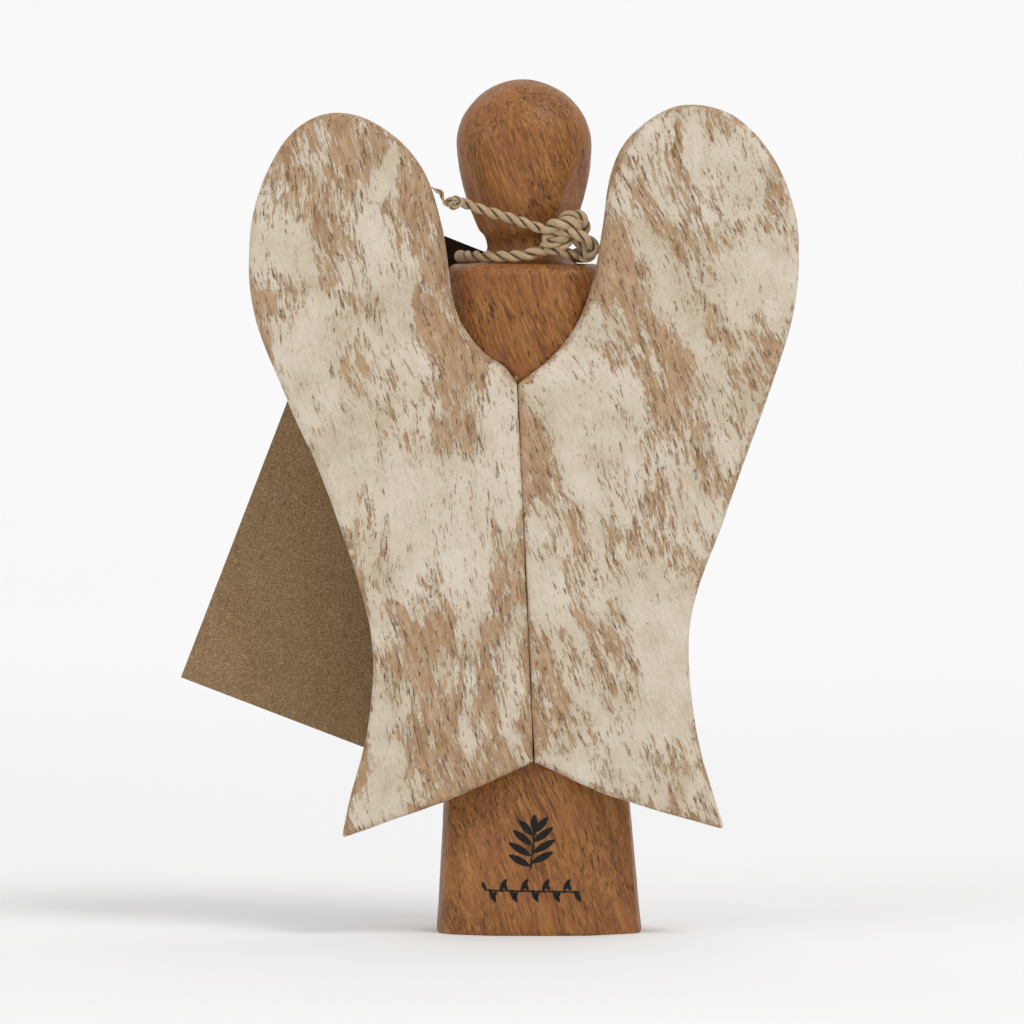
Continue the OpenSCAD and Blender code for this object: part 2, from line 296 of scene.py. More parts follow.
def whitewash(name, tilt, seed):
    """Cream wash rubbed back to tan wood in streaks along the grain, and worn through at the edges."""
    f = Finish(name, Roughness=0.68, Specular_IOR_Level=0.3)
    moved = f.node("Mapping", {"Vector": f.object, "Location": (seed, seed, seed)})
    bent = f.bent(moved, 22, (0.014, 0.0, 0.008))
    grain = f.grain(bent, tilt, 0.42)
    patches = f.noise(grain, 44, 4, 0.60, 0.5)
    middle = f.noise(f.grain(bent, tilt, 0.34), 240, 4, 0.7)
    streaks = f.noise(f.grain(bent, tilt, 0.17), 1500, 3, 0.75)
    rubbed = f.math("ADD", f.math("MULTIPLY", patches, 0.47), f.math("MULTIPLY", middle, 0.23))
    rubbed = f.math("ADD", rubbed, f.math("MULTIPLY", streaks, 0.30))
    edge = f.attribute("edge")
    chewed = f.step(f.noise(moved, 130, 4, 0.7), 0.38, 0.62)
    rubbed = f.math("ADD", rubbed, f.math("MULTIPLY", f.math("MULTIPLY", edge, chewed), 0.075))
    bare = f.step(rubbed, 0.512, 0.540, 0.0, 0.92)
    thin = f.step(rubbed, 0.45, 0.53)
    tone = f.noise(f.grain(bent, tilt, 0.2), 520, 4, 0.7)
    wood = f.ramp(tone, (0.32, (0.25, 0.130, 0.058)), (0.50, (0.415, 0.250, 0.132)),
                  (0.70, (0.57, 0.39, 0.235)))
    wash = f.noise(moved, 62, 4, 0.65)
    paint = f.ramp(wash, (0.34, (0.52, 0.425, 0.295)), (0.50, (0.635, 0.545, 0.415)),
                   (0.68, (0.72, 0.64, 0.525)))
    paint = f.mix(f.step(streaks, 0.35, 0.65, 0.0, 0.45), paint.outputs[0], (0.78, 0.71, 0.60))
    grit = f.noise(moved, 2100, 2, 0.8)
    paint = f.mix(f.step(grit, 0.52, 0.68, 0.0, 0.35), paint, (0.42, 0.34, 0.23))
    paint = f.mix(f.math("MULTIPLY", thin, 0.30), paint, (0.50, 0.335, 0.195))
    colour = f.mix(bare, paint, wood.outputs[0])
    pores = f.step(f.noise(f.grain(bent, tilt, 0.18), 1500, 2, 0.6), 0.60, 0.67)
    pores = f.math("MULTIPLY", pores, f.math("MAXIMUM", f.math("MULTIPLY", thin, 0.9), 0.16))
    colour = f.mix(f.math("MULTIPLY", pores, 0.8), colour, (0.13, 0.070, 0.032))
    specks = f.step(f.noise(moved, 1000, 1, 0.5), 0.745, 0.765)
    colour = f.mix(f.math("MULTIPLY", specks, 0.8), colour, (0.08, 0.05, 0.03))
    f.put(f.shader, "Base Color", colour)
    coat = f.math("SUBTRACT", 1.0, bare)
    height = f.math("ADD", f.math("MULTIPLY", coat, 0.55), f.math("MULTIPLY", streaks, 0.6))
    height = f.math("SUBTRACT", height, f.math("MULTIPLY", pores, 0.9))
    f.bump(height, 0.0002, 1.0)
    return f.material


def kraft_card(shade_band_normal, shade_band_start):
    """Brown board with pale and dark fibres, and a near-black band along the top edge painted as shade, for
    the deep shadow where the card stands between the wing and the neck.
    """
    f = Finish("kraft card", Roughness=0.86, Specular_IOR_Level=0.2)
    cloud = f.noise(f.object, 120, 3, 0.6)
    grit = f.noise(f.object, 1700, 3, 0.85)
    card = f.ramp(cloud, (0.30, (0.285, 0.180, 0.089)), (0.70, (0.325, 0.212, 0.110)))
    card = f.mix(f.step(grit, 0.50, 0.66, 0.0, 0.8), card.outputs[0], (0.50, 0.36, 0.215))
    card = f.mix(f.step(grit, 0.48, 0.36, 0.0, 0.7), card, (0.155, 0.085, 0.035))
    warp = f.bent(f.object, 260, (0.004, 0.004, 0.004))
    fibres = f.step(f.noise(f.grain(warp, 35, 0.16), 900, 1, 0.5), 0.70, 0.74)
    card = f.mix(f.math("MULTIPLY", fibres, 0.55), card, (0.17, 0.095, 0.045))
    pale = f.step(f.noise(f.grain(warp, -50, 0.14), 800, 1, 0.5), 0.71, 0.75)
    card = f.mix(f.math("MULTIPLY", pale, 0.45), card, (0.52, 0.37, 0.22))
    # painted shade: a near-black band along the card's top edge, standing for the shadow between the wing and
    # the neck
    along = f.node("VectorMath", {0: f.object, 1: shade_band_normal}, operation="DOT_PRODUCT")
    painted_shade_band = f.step(along.outputs["Value"], shade_band_start, shade_band_start + 0.0003)
    card = f.mix(painted_shade_band, card, (0.030, 0.014, 0.008))
    f.put(f.shader, "Base Color", card)
    f.bump(grit, 0.00008, 0.7)
    return f.material


def grass_twine():
    """Dry twisted grass: pale ribs along each ply, with painted shade in the hollows between the plies."""
    f = Finish("grass twine", Roughness=0.55, Specular_IOR_Level=0.4)
    uv = f.node("UVMap", uv_map="lay").outputs[0]
    ribs = f.noise(f.turned(uv, (0, 0, 0), (9, 1.2, 1)), 3.0, 3, 0.6)
    blotch = f.noise(f.object, 210, 3, 0.6)
    straw = f.ramp(ribs, (0.28, (0.30, 0.185, 0.095)), (0.50, (0.50, 0.355, 0.205)),
                   (0.74, (0.74, 0.59, 0.40)))
    straw = f.mix(f.step(blotch, 0.35, 0.7, 0.0, 0.55), straw.outputs[0], (0.40, 0.275, 0.150))
    crease_shade = f.attribute("crease_shade")
    # painted shade: the straw darkened in the creases where the plies meet
    straw = f.mix(f.math("MULTIPLY", crease_shade, 0.85), straw, (0.060, 0.036, 0.016))
    f.put(f.shader, "Base Color", straw)
    f.bump(ribs, 0.00016, 0.8)
    return f.material


def plain_dowel():
    """Bare pale wood with its grain along the peg."""
    f = Finish("dowel wood", Roughness=0.7)
    grain = f.noise(f.turned(f.object, (0, 0, 0), (1, 0.08, 1)), 900, 3, 0.6)
    wood = f.ramp(grain, (0.3, (0.48, 0.33, 0.19)), (0.7, (0.64, 0.47, 0.29)))
    f.put(f.shader, "Base Color", wood)
    f.bump(grain, 0.0001, 0.6)
    return f.material


def black_ink():
    """Matt ink, a little thin in places."""
    f = Finish("stamp ink", Roughness=0.6, Specular_IOR_Level=0.3)
    patchy = f.noise(f.object, 1400, 3, 0.7)
    ink = f.ramp(patchy, (0.62, (0.006, 0.005, 0.004)), (0.74, (0.05, 0.025, 0.012)))
    f.put(f.shader, "Base Color", ink)
    return f.material


def old_glue():
    """Amber glue gone hard and glossy."""
    f = Finish("dried glue", Roughness=0.3)
    cloud = f.noise(f.object, 900, 2, 0.5)
    amber = f.ramp(cloud, (0.3, (0.20, 0.085, 0.03)), (0.7, (0.36, 0.18, 0.075)))
    f.put(f.shader, "Base Color", amber)
    return f.material


# ---------- the body: one block of brown wood ----------

LEAN = math.tan(math.radians(1.1))
SHOULDER_Z, SHOULDER_W, SHOULDER_ROUND = 0.196, 0.048, 0.004
BASE_W, BASE_FRONT, CHEST_FRONT, BACK, FOOT = 0.0604, 0.0215, 0.018, 0.021, 0.0008
NECK_W, NECK_D, NECK_FILLET = 0.0234, 0.022, 0.0045
HEAD_W, HEAD_D, HEAD_Z, CROWN = 0.0395, 0.036, 0.2307, 0.0195
GOWN_SQUARE, HEAD_SQUARE = 3.2, 2.1
GOWN_LEVELS, SHOULDER_LEVELS, NECK_LEVELS, HEAD_LEVELS, CROWN_LEVELS = 150, 8, 8, 24, 23
LEVEL_STEP = 0.001


def soft(t):
    """An even ease from 0 to 1."""
    t = min(max(t, 0.0), 1.0)
    return t * t * (3 - 2 * t)


def section(angle, half, front, back, square):
    """A point on a rounded rectangle about the middle of the figure."""
    c, s = math.cos(angle), math.sin(angle)
    x = math.copysign(abs(c) ** (2 / square), c) * half
    y = math.copysign(abs(s) ** (2 / square), s)
    return x, y * (back if y > 0 else front)


def gown_section(z, angle, inset=0.0):
    """The gown's outline at a height, flared towards the table."""
    flare = (1 - z / SHOULDER_Z) ** 2.75 if z < SHOULDER_Z else 0
    half = (SHOULDER_W + (BASE_W - SHOULDER_W) * flare) / 2 - inset
    front = CHEST_FRONT + (BASE_FRONT - CHEST_FRONT) * flare - inset
    return (*section(angle, half, front, BACK - inset, GOWN_SQUARE), z)


def head_section(z, angle, wide, deep):
    """An outline of the neck or the head at a height."""
    return (*section(angle, wide, deep, deep, HEAD_SQUARE), z)


def body_levels():
    """Every level of the block, from the table to the crown, as functions of the angle."""
    top = SHOULDER_Z - SHOULDER_ROUND
    yield lambda a: gown_section(0, a, FOOT)
    yield lambda a: gown_section(FOOT * 0.3, a, FOOT * 0.3)
    for i in range(GOWN_LEVELS + 1):
        z = FOOT + (top - FOOT) * i / GOWN_LEVELS
        yield lambda a, z=z: gown_section(z, a)
    for i in range(1, SHOULDER_LEVELS + 1):
        t = math.radians(90 * i / SHOULDER_LEVELS)
        yield lambda a, t=t: gown_section(top + SHOULDER_ROUND * math.sin(t), a,
                                          SHOULDER_ROUND * (1 - math.cos(t)))
    for i in range(NECK_LEVELS + 1):
        t = math.radians(8 + 82 * i / NECK_LEVELS)
        out = NECK_FILLET * (1 - math.sin(t))
        yield lambda a, t=t, out=out: head_section(SHOULDER_Z + NECK_FILLET * (1 - math.cos(t)), a,
                                                   NECK_W / 2 + out, NECK_D / 2 + out)
    neck_top = SHOULDER_Z + NECK_FILLET
    for i in range(1, HEAD_LEVELS + 1):
        t = i / HEAD_LEVELS
        swell = math.sin(t * math.pi / 2)
        yield lambda a, t=t, swell=swell: head_section(neck_top + (HEAD_Z - neck_top) * t, a,
                                                       (NECK_W + (HEAD_W - NECK_W) * swell) / 2,
                                                       (NECK_D + (HEAD_D - NECK_D) * swell) / 2)
    for i in range(1, CROWN_LEVELS + 1):
        t = math.radians(88.5 * i / CROWN_LEVELS)
        yield lambda a, t=t: head_section(HEAD_Z + CROWN * math.sin(t), a, HEAD_W / 2 * math.cos(t),
                                          HEAD_D / 2 * math.cos(t))


def turned_block(around):
    """A cylinder drawn up level by level in edit mode, then each level given its section."""
    levels = list(body_levels())
    deselect()
    bpy.ops.mesh.primitive_cylinder_add(vertices=around, radius=0.03, depth=LEVEL_STEP,
                                        end_fill_type="NGON", location=(0, 0, LEVEL_STEP / 2))
    block = bpy.context.object
    apply_place(block)
    choose_none("FACE")
    top = max(block.data.polygons, key=lambda p: p.center.z)
    top.select = True
    bpy.ops.object.mode_set(mode="EDIT")
    for _ in levels[2:]:
        bpy.ops.mesh.extrude_region_move(TRANSFORM_OT_translate={"value": (0, 0, LEVEL_STEP)})
    bpy.ops.object.mode_set(mode="OBJECT")
    for vertex in block.data.vertices:
        level = levels[round(vertex.co.z / LEVEL_STEP)]
        vertex.co = level(math.atan2(vertex.co.y, vertex.co.x))
    return block


def distance_to(p, a, b):
    """Distance from p to the stretch between a and b."""
    way = b - a
    t = min(max((p - a).dot(way) / way.length_squared, 0), 1)
    return (p - a - way * t).length


def arm_lines(side):
    """Shoulder, elbow and hand of one arm, before the lean."""
    return (Vector((side * 0.024, -0.003, 0.1874)), Vector((side * 0.0234, -0.009, 0.136)),
            Vector((side * 0.0056, -0.018, 0.112)))


def carve_arms(block):
    """Both arms swell out of the gown in low relief, with a groove cut along their lower side."""
    lines = [arm_lines(1), arm_lines(-1)]
    for vertex in block.data.vertices:
        p = vertex.co
        if not 0.098 < p.z < 0.195:
            continue
        near = min(min(distance_to(p, s, e), distance_to(p, e, h)) for s, e, h in lines)
        out = Vector((p.x, p.y, 0)).normalized()
        relief = 0.0028 * soft((0.0060 - near) / 0.0030)
        groove = 0.0005 * soft(1 - abs(near - 0.0070) / 0.0016)
        vertex.co = p + out * (relief - groove)


def shave(block, centre, direction, reach, keep=lambda p: 1.0):
    """One knife flat: what stands beyond a plane is taken off."""
    direction = direction.normalized()
    for vertex in block.data.vertices:
        over = (vertex.co - centre).dot(direction) - reach
        if over > 0:
            vertex.co -= direction * over * 0.92 * keep(vertex.co)


def knife_flats(block):
    """Small flats left by the knife round the head and neck, and along the gown's corners."""
    head = Vector((0, 0, HEAD_Z - 0.002))
    dice = random.Random(5)
    for row, (tilt, count) in enumerate(((-52, 7), (-28, 9), (-4, 10), (20, 9), (44, 7), (66, 4))):
        for i in range(count):
            turn = 2 * math.pi * (i + 0.5 * (row % 2) + dice.uniform(-0.2, 0.2)) / count
            lean = math.radians(tilt + dice.uniform(-6, 6))
            level = math.cos(lean)
            direction = Vector((math.cos(turn) * level, math.sin(turn) * level, math.sin(lean)))
            reach = max((v.co - head).dot(direction) for v in block.data.vertices if v.co.z > 0.205)
            shave(block, head, direction, reach - dice.uniform(0.00006, 0.0002),
                  lambda p: soft((p.z - 0.199) / 0.006))
    side = Vector((-0.80, 0.52, -0.30))
    reach = max((v.co - head).dot(side.normalized()) for v in block.data.vertices if v.co.z > 0.203)
    shave(block, head, side, reach - 0.0011, lambda p: soft((p.z - 0.197) / 0.006))
    corners = ((122, 0.0024, 0.12), (66, 0.0011, 0.10), (236, 0.0012, 0.09), (310, 0.0012, 0.09))
    for turn, depth, top in corners:
        out = Vector((math.cos(math.radians(turn)), math.sin(math.radians(turn)), 0))
        reach = max(v.co.dot(out) for v in block.data.vertices if v.co.z < 0.004)
        out.z = 0.07
        shave(block, Vector(), out, reach - depth, lambda p, top=top: soft((top - p.z) / 0.06))


def rub(obj, strength, size, keep=None):
    """Uneven hand sanding: the skin moves in and out a little, by a slow pattern."""
    texture = bpy.data.textures.new(obj.name + " sanding", "CLOUDS")
    texture.noise_scale = size
    texture.noise_depth = 2
    settings = {"texture": texture, "texture_coords": "LOCAL", "strength": strength, "mid_level": 0.5}
    if keep:
        settings["vertex_group"] = keep
    modify(obj, "DISPLACE", **settings)


def board_copy(node):
    """A merged copy of a wing board whose flat front and back are filled afresh from their outlines."""
    board = merged_copy(node)
    low_corner, high_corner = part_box(node)
    flats = (low_corner.y, high_corner.y)

    def lies_flat(indices, y):
        return all(abs(board.data.vertices[i].co.y - y) < ON_FLAT for i in indices)

    choose_none("FACE")
    for face in board.data.polygons:
        face.select = any(lies_flat(face.vertices, y) for y in flats)
    bpy.ops.object.mode_set(mode="EDIT")
    bpy.ops.mesh.delete(type="FACE")
    bpy.ops.mesh.select_mode(type="EDGE")
    bpy.ops.mesh.select_all(action="DESELECT")
    for y in flats:
        bpy.ops.object.mode_set(mode="OBJECT")
        shared = {}
        for face in board.data.polygons:
            for key in face.edge_keys:
                shared[key] = shared.get(key, 0) + 1
        for edge in board.data.edges:
            edge.select = lies_flat(edge.vertices, y) and shared.get(edge.key, 0) == 1
        bpy.ops.object.mode_set(mode="EDIT")
        bpy.ops.mesh.fill(use_beauty=True)
        bpy.ops.mesh.select_all(action="DESELECT")
    bpy.ops.mesh.select_all(action="SELECT")
    bpy.ops.mesh.normals_make_consistent(inside=False)
    bpy.ops.object.mode_set(mode="OBJECT")
    return board


def heart_and_hands():
    """The small heart and the two closed hands that hold it, before the lean."""
    parts = []
    middle = Vector((0, -0.0215, 0.116))

    def ball(place, radius, stretch=(1, 1, 1)):
        deselect()
        bpy.ops.mesh.primitive_uv_sphere_add(segments=32, ring_count=20, radius=radius, location=place,
                                             scale=stretch)
        apply_place(bpy.context.object)
        parts.append(bpy.context.object)

    lobes = 0.0046
    for side in (1, -1):
        steps = 12
        for i in range(steps + 1):
            t = i / steps
            place = middle + Vector((side * lobes * (1 - t), 0, -0.0115 * t))
            for deep in (0, 0.004):
                ball(place + Vector((0, deep, 0)), 0.005 * (1 - t) + 0.0018 * t, (1, 1.05, 1))
        for i in range(4):
            place = middle + Vector((side * (0.0098 - 0.0013 * i), -0.0012 + 0.0004 * i,
                                     0.0005 - 0.0032 * i))
            for step in range(6):
                shift = Vector((side * -0.0009 * step, -0.0005 * step, 0.0002 * step))
                ball(place + shift, 0.0018 - 0.00008 * step)
        ball(middle + Vector((side * 0.0108, 0.0035, -0.005)), 0.0052, (1, 1, 1.15))
    hands = join(parts)
    modify(hands, "REMESH", mode="VOXEL", voxel_size=0.0005)
    modify(hands, "SMOOTH", factor=0.5, iterations=4)
    return hands


def make_body(material):
    """The whole carving: block, flats, arms, sanding, hands, lean and the recesses for the wings."""
    block = turned_block(144)
    knife_flats(block)
    carve_arms(block)
    rub(block, 0.0005, 0.014)
    for vertex in block.data.vertices:
        if vertex.co.z < 0.0003:
            vertex.co.z = 0
    hands = heart_and_hands()
    modify(block, "BOOLEAN", operation="UNION", solver="MANIFOLD", object=hands)
    bpy.data.objects.remove(hands)
    for vertex in block.data.vertices:
        vertex.co.x += vertex.co.z * LEAN
    for node in ("wing_left", "wing_right"):
        cutter = board_copy(node)
        modify(block, "BOOLEAN", operation="DIFFERENCE", solver="MANIFOLD", object=cutter)
        bpy.data.objects.remove(cutter)
    pick(block)
    bpy.ops.object.shade_smooth_by_angle(angle=math.radians(38))
    return name_piece(block, "carved_body", material, "brown_wood", FIGURE, "body")


# ---------- the wings: two boards, rounded over and rubbed ----------

WING_VOXEL, RIM_SPACING, BORE_MARGIN, WORN_EDGE = 0.00075, 0.0004, 0.0015, 0.003


def rim_tree(board, dowels, face_y):
    """Nearest-point tree of closely spaced spots along the board's outline, bores left out."""
    rim = set()
    for face in board.data.polygons:
        if abs(face.normal.y) < 0.3:
            rim.update(key for key in face.edge_keys
                       if all(abs(board.data.vertices[i].co.y - face_y) < ON_FLAT for i in key))
    bores = KDTree(len(dowels.data.vertices))
    for i, vertex in enumerate(dowels.data.vertices):
        bores.insert((vertex.co.x, 0, vertex.co.z), i)
    bores.balance()
    spots = []
    for key in rim:
        a, b = (board.data.vertices[i].co for i in key)
        if bores.find((a.x, 0, a.z))[2] < BORE_MARGIN:
            continue
        steps = max(1, round((b - a).length / RIM_SPACING))
        spots += [a.lerp(b, i / steps) for i in range(steps)]
    tree = KDTree(len(spots))
    for i, spot in enumerate(spots):
        tree.insert((spot.x, 0, spot.z), i)
    tree.balance()
    return tree


def make_wing(node, name, material):
    """The board is cut close, its arrises eased, and its back face rasped into shallow hollows."""
    wing = board_copy(node)
    face_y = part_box(node)[0].y
    rim = rim_tree(wing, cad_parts[node.replace("wing", "wing_dowels")], face_y)
    modify(wing, "REMESH", mode="VOXEL", voxel_size=WING_VOXEL)
    modify(wing, "SMOOTH", factor=0.5, iterations=3)
    group = wing.vertex_groups.new(name="back")
    shades = []
    for vertex in wing.data.vertices:
        p = vertex.co
        shades.append(soft(1 - rim.find((p.x, 0, p.z))[2] / WORN_EDGE))
        group.add([vertex.index], soft((p.y - face_y - 0.002) / 0.004), "REPLACE")
    for vertex in wing.data.vertices:
        vertex.co.y = max(vertex.co.y, face_y)
    rub(wing, 0.0006, 0.02, "back")
    edge = wing.data.attributes.new("edge", "FLOAT", "POINT")
    edge.data.foreach_set("value", shades)
    pick(wing)
    bpy.ops.object.shade_smooth()
    return name_piece(wing, name, material, "whitewash", FIGURE, node)


# ---------- twine ----------

LOOP = [[-2, 16.8, 200.4], [3, 17, 198.8], [8.5, 16.2, 198.2], [14.5, 13.4, 198.1], [19.5, 8.6, 198.1],
        [22.4, 2.4, 198.1], [23.2, -4.4, 198.1], [23, -11, 198.1], [22.2, -17, 197.4], [21.4, -21, 196.3],
        [20.8, -23.5, 195.7], [19.6, -26.6, 195.9], [15.8, -30.2, 196.8], [10.6, -30.8, 198],
        [6.6, -27.8, 199.2], [4.8, -22.8, 199.6], [2, -18.4, 199], [-3.2, -16, 198.3],
        [-8.4, -12.4, 198.1], [-11.6, -6.6, 198.1], [-12.6, 0, 198.1], [-12.6, 6.4, 198.4],
        [-12, 12, 199.4]]
TAIL = [[-5.8, 16.8, 204.2], [-3.5, 17.8, 205.2], [2, 18.6, 207.2], [8, 19.2, 209.2], [14, 20.2, 211],
        [19, 21.6, 212.6], [23, 23.5, 214.2]]
TWINE_D = 0.0036
PITCH = 0.0090
CORD_STEP, KNOT_STEP = 0.00035, 0.0004
PLY_CORNERS, DRIFT_EVERY = 14, 8


def metres(points):
    return [Vector(p) * MM for p in points]


def frames_along(line):
    """A side direction for each point of a line, carried along without twisting."""
    last = len(line) - 1
    ways = [(line[min(i + 1, last)] - line[max(i - 1, 0)]).normalized() for i in range(len(line))]
    side = ways[0].orthogonal().normalized()
    sides = []
    for way in ways:
        side = (side - way * side.dot(way)).normalized()
        sides.append(side)
    return ways, sides


def ply_mesh(line, width, pitch, turn, dice, taper=0.0):
    """Two plump plies laid round each other along a line; the ends draw in to a point."""
    ways, sides = frames_along(line)
    around = PLY_CORNERS
    spacing = (line[1] - line[0]).length
    verts, faces, uvs, crease_shades = [], [], [], []
    wobble = [dice.uniform(-1, 1) for _ in range(len(line) // DRIFT_EVERY + 3)]
    for ply in range(2):
        base = len(verts)
        for i, centre in enumerate(line):
            s = i * spacing
            end = min(i, len(line) - 1 - i) / max(len(line) * taper, 1)
            close = soft(end) ** 0.5 if taper else 1.0
            slot = i / DRIFT_EVERY
            j = int(slot)
            drift = wobble[j] * (1 - slot + j) + wobble[j + 1] * (slot - j)
            phase = turn + ply * math.pi + 2 * math.pi * s / pitch + 0.12 * drift
            across = sides[i].cross(ways[i])
            out = sides[i] * math.cos(phase) - across * math.sin(phase)
            over = ways[i].cross(out)
            plump = width * (0.265 + 0.012 * drift) * close
            away = width * 0.245 * close
            slope = math.atan(2 * math.pi * away / pitch)
            skin = ways[i] * math.cos(slope) + over * math.sin(slope)
            wide = out.cross(skin).normalized()
            for k in range(around):
                a = 2 * math.pi * k / around
                place = centre + out * (away + plump * math.cos(a)) + wide * plump * math.sin(a) * 1.06
                verts.append(place)
                # painted shade: each ply is marked darker on its side that turns in towards the other ply
                crease_shades.append(soft((0.25 - math.cos(a)) / 0.95))
                uvs.append((k / around, s / width))
        for i in range(len(line) - 1):
            for k in range(around):
                a, b = base + i * around + k, base + i * around + (k + 1) % around
                faces.append((a, b, b + around, a + around))
        first, last = base, base + (len(line) - 1) * around
        faces.append(tuple(first + k for k in reversed(range(around))))
        faces.append(tuple(last + k for k in range(around)))
    return verts, faces, uvs, crease_shades


def twine_object(name, strands):
    """One mesh from several laid strands, with its own lay map and painted-shade attribute."""
    verts, faces, uvs, crease_shades = [], [], [], []
    for strand in strands:
        base = len(verts)
        verts += strand[0]
        faces += [tuple(base + i for i in face) for face in strand[1]]
        uvs += strand[2]
        crease_shades += strand[3]
    mesh = bpy.data.meshes.new(name)
    mesh.from_pydata(verts, [], faces)
    layer = mesh.uv_layers.new(name="lay")
    for loop in mesh.loops:
        layer.data[loop.index].uv = uvs[loop.vertex_index]
    # the painted shade in the creases between plies, stored with each point
    crease_shade = mesh.attributes.new("crease_shade", "FLOAT", "POINT")
    crease_shade.data.foreach_set("value", crease_shades)
    mesh.polygons.foreach_set("use_smooth", [True] * len(mesh.polygons))
    obj = bpy.data.objects.new(name, mesh)
    scene.collection.objects.link(obj)
    pick(obj)
    bpy.ops.object.mode_set(mode="EDIT")
    bpy.ops.mesh.select_all(action="SELECT")
    bpy.ops.mesh.normals_make_consistent(inside=False)
    bpy.ops.object.mode_set(mode="OBJECT")
    return obj


def make_cords(material):
    """The loop round the neck and its free end."""
    loop_line, loop_long = spline(metres(LOOP), CORD_STEP)
    loop = twine_object("twine_loop", [ply_mesh(loop_line, TWINE_D, PITCH, 0.6, random.Random(2))])
    name_piece(loop, "twine_loop", material, "twine", FIGURE, "neck_twine")
    tail_line, tail_long = spline(metres(TAIL), CORD_STEP)
    tail = twine_object("twine_end", [ply_mesh(tail_line, TWINE_D * 0.86, PITCH, 2.1, random.Random(4))])
    name_piece(tail, "twine_end", material, "twine", FIGURE, "twine_tail")


def strand(route, width, turn, seed, taper=0.0):
    """One turn of a knot, laid along a route in millimetres."""
    line, _ = spline(metres(route), KNOT_STEP)
    return ply_mesh(line, width, PITCH, turn, random.Random(seed), taper)


def make_knot(material):
    """The knot at the nape: a plump half hitch with a loop above, one below and a short frayed end."""
    strands = [
        strand([[-1.6, 18.4, 205.6], [-4, 19.8, 207.2], [-7, 20.6, 208], [-9.8, 20, 207.8],
                [-11.6, 18, 206.8], [-11, 15.6, 205.6]], 0.0040, 0.2, 11),
        strand([[-3.5, 17.8, 205.2], [-5.6, 17.2, 207.6], [-8, 17, 210], [-11.2, 17.4, 210.4],
                [-13.4, 17.6, 208.4], [-13, 17.2, 205.8], [-11, 16, 204]], 0.0032, 1.2, 12),
        strand([[-6.6, 18.6, 206.2], [-8.6, 20, 205.6], [-11.4, 20.2, 204.4], [-14.4, 19.4, 203],
                [-16, 17.8, 200.6], [-15, 16.2, 198.4], [-12.8, 14.8, 198.2], [-12, 12, 199.4]],
               0.0034, 0.9, 13),
        strand([[-9.4, 17, 204.8], [-6.6, 18.8, 205.4], [-3.6, 19.2, 205.2], [-1.6, 18.6, 204.2],
                [-2.4, 18.2, 202.8], [-5.2, 18.6, 203], [-8, 18.4, 204.2]], 0.0029, 2.0, 14),
        strand([[-1.2, 17.6, 201.2], [-3.6, 18.8, 201.8], [-6.2, 18.8, 203.2], [-8.6, 17.4, 204.6]],
               0.0030, 2.6, 15),
        strand([[-2, 16.8, 200.4], [-4.6, 17.6, 200.2], [-7.4, 17, 199.4], [-9.6, 15.4, 198.6],
                [-12, 12, 199.4]], 0.0034, 0.6, 16),
        strand([[-6.4, 18.2, 200.4], [-7.8, 19, 201.8], [-8.8, 18.8, 203]], 0.0026, 0.4, 17),
        strand([[-8.8, 15.6, 203.6], [-11.8, 15.4, 202], [-13.6, 15.8, 199.8], [-14.6, 16.4, 197.4]],
               0.0030, 0.0, 18, 0.08),
    ]
    knot = twine_object("nape_knot", strands)
    return name_piece(knot, "nape_knot", material, "twine", FIGURE, "twine_knot")


def make_tail_knot(material):
    """A small overhand knot in the thin end of the twine, and the curl past it."""
    strands = [
        strand([[22, 23, 213.8], [23.6, 24.4, 214.6], [25.6, 25, 213.6], [25.4, 24.4, 212.4],
                [23.6, 25.4, 212.8], [22.9, 25.6, 214.2], [24.6, 25.6, 215.4], [26.6, 24.4, 214.4],
                [27.4, 24.6, 213.2]],
               0.0015, 0.3, 21),
        strand([[23, 23.5, 214.2], [25, 24.6, 213], [27.2, 25, 213.6], [28.2, 25.4, 215.2], [28.6, 26, 216.8],
                [30, 26.6, 217.4], [31.6, 27.2, 218.6]], 0.0014, 0.9, 22, 0.2),
    ]
    knot = twine_object("end_knot", strands)
    return name_piece(knot, "end_knot", material, "twine", FIGURE, "tail_knot")


# ---------- tag, stamp, glue and dowels ----------

TAG_W, TAG_L, TAG_T, HOLE_R, HOLE_DROP = 0.072, 0.150, 0.0006, 0.0027, 0.0052
HOLE_AT = Vector((0.0208, -0.0235, 0.1957))
TAG_TURN = math.radians(10)
# the last of these is the depth of the painted shade band along the card's top edge
TAG_BOW, TAG_CURL, SHADE_BAND_H = 0.0012, 0.0010, 0.014


def hang_angle():
    """How far the card leans where its edge rests on the heart, read from the CAD card."""
    corners = [v.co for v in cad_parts["hang_tag"].data.vertices]
    across = Vector((math.cos(TAG_TURN), math.sin(TAG_TURN), 0))
    lowest = min(corners, key=lambda p: p.z)
    widest = max(corners, key=lambda p: p.dot(across))
    way = widest - lowest
    return math.atan2(way.z, way.dot(across))


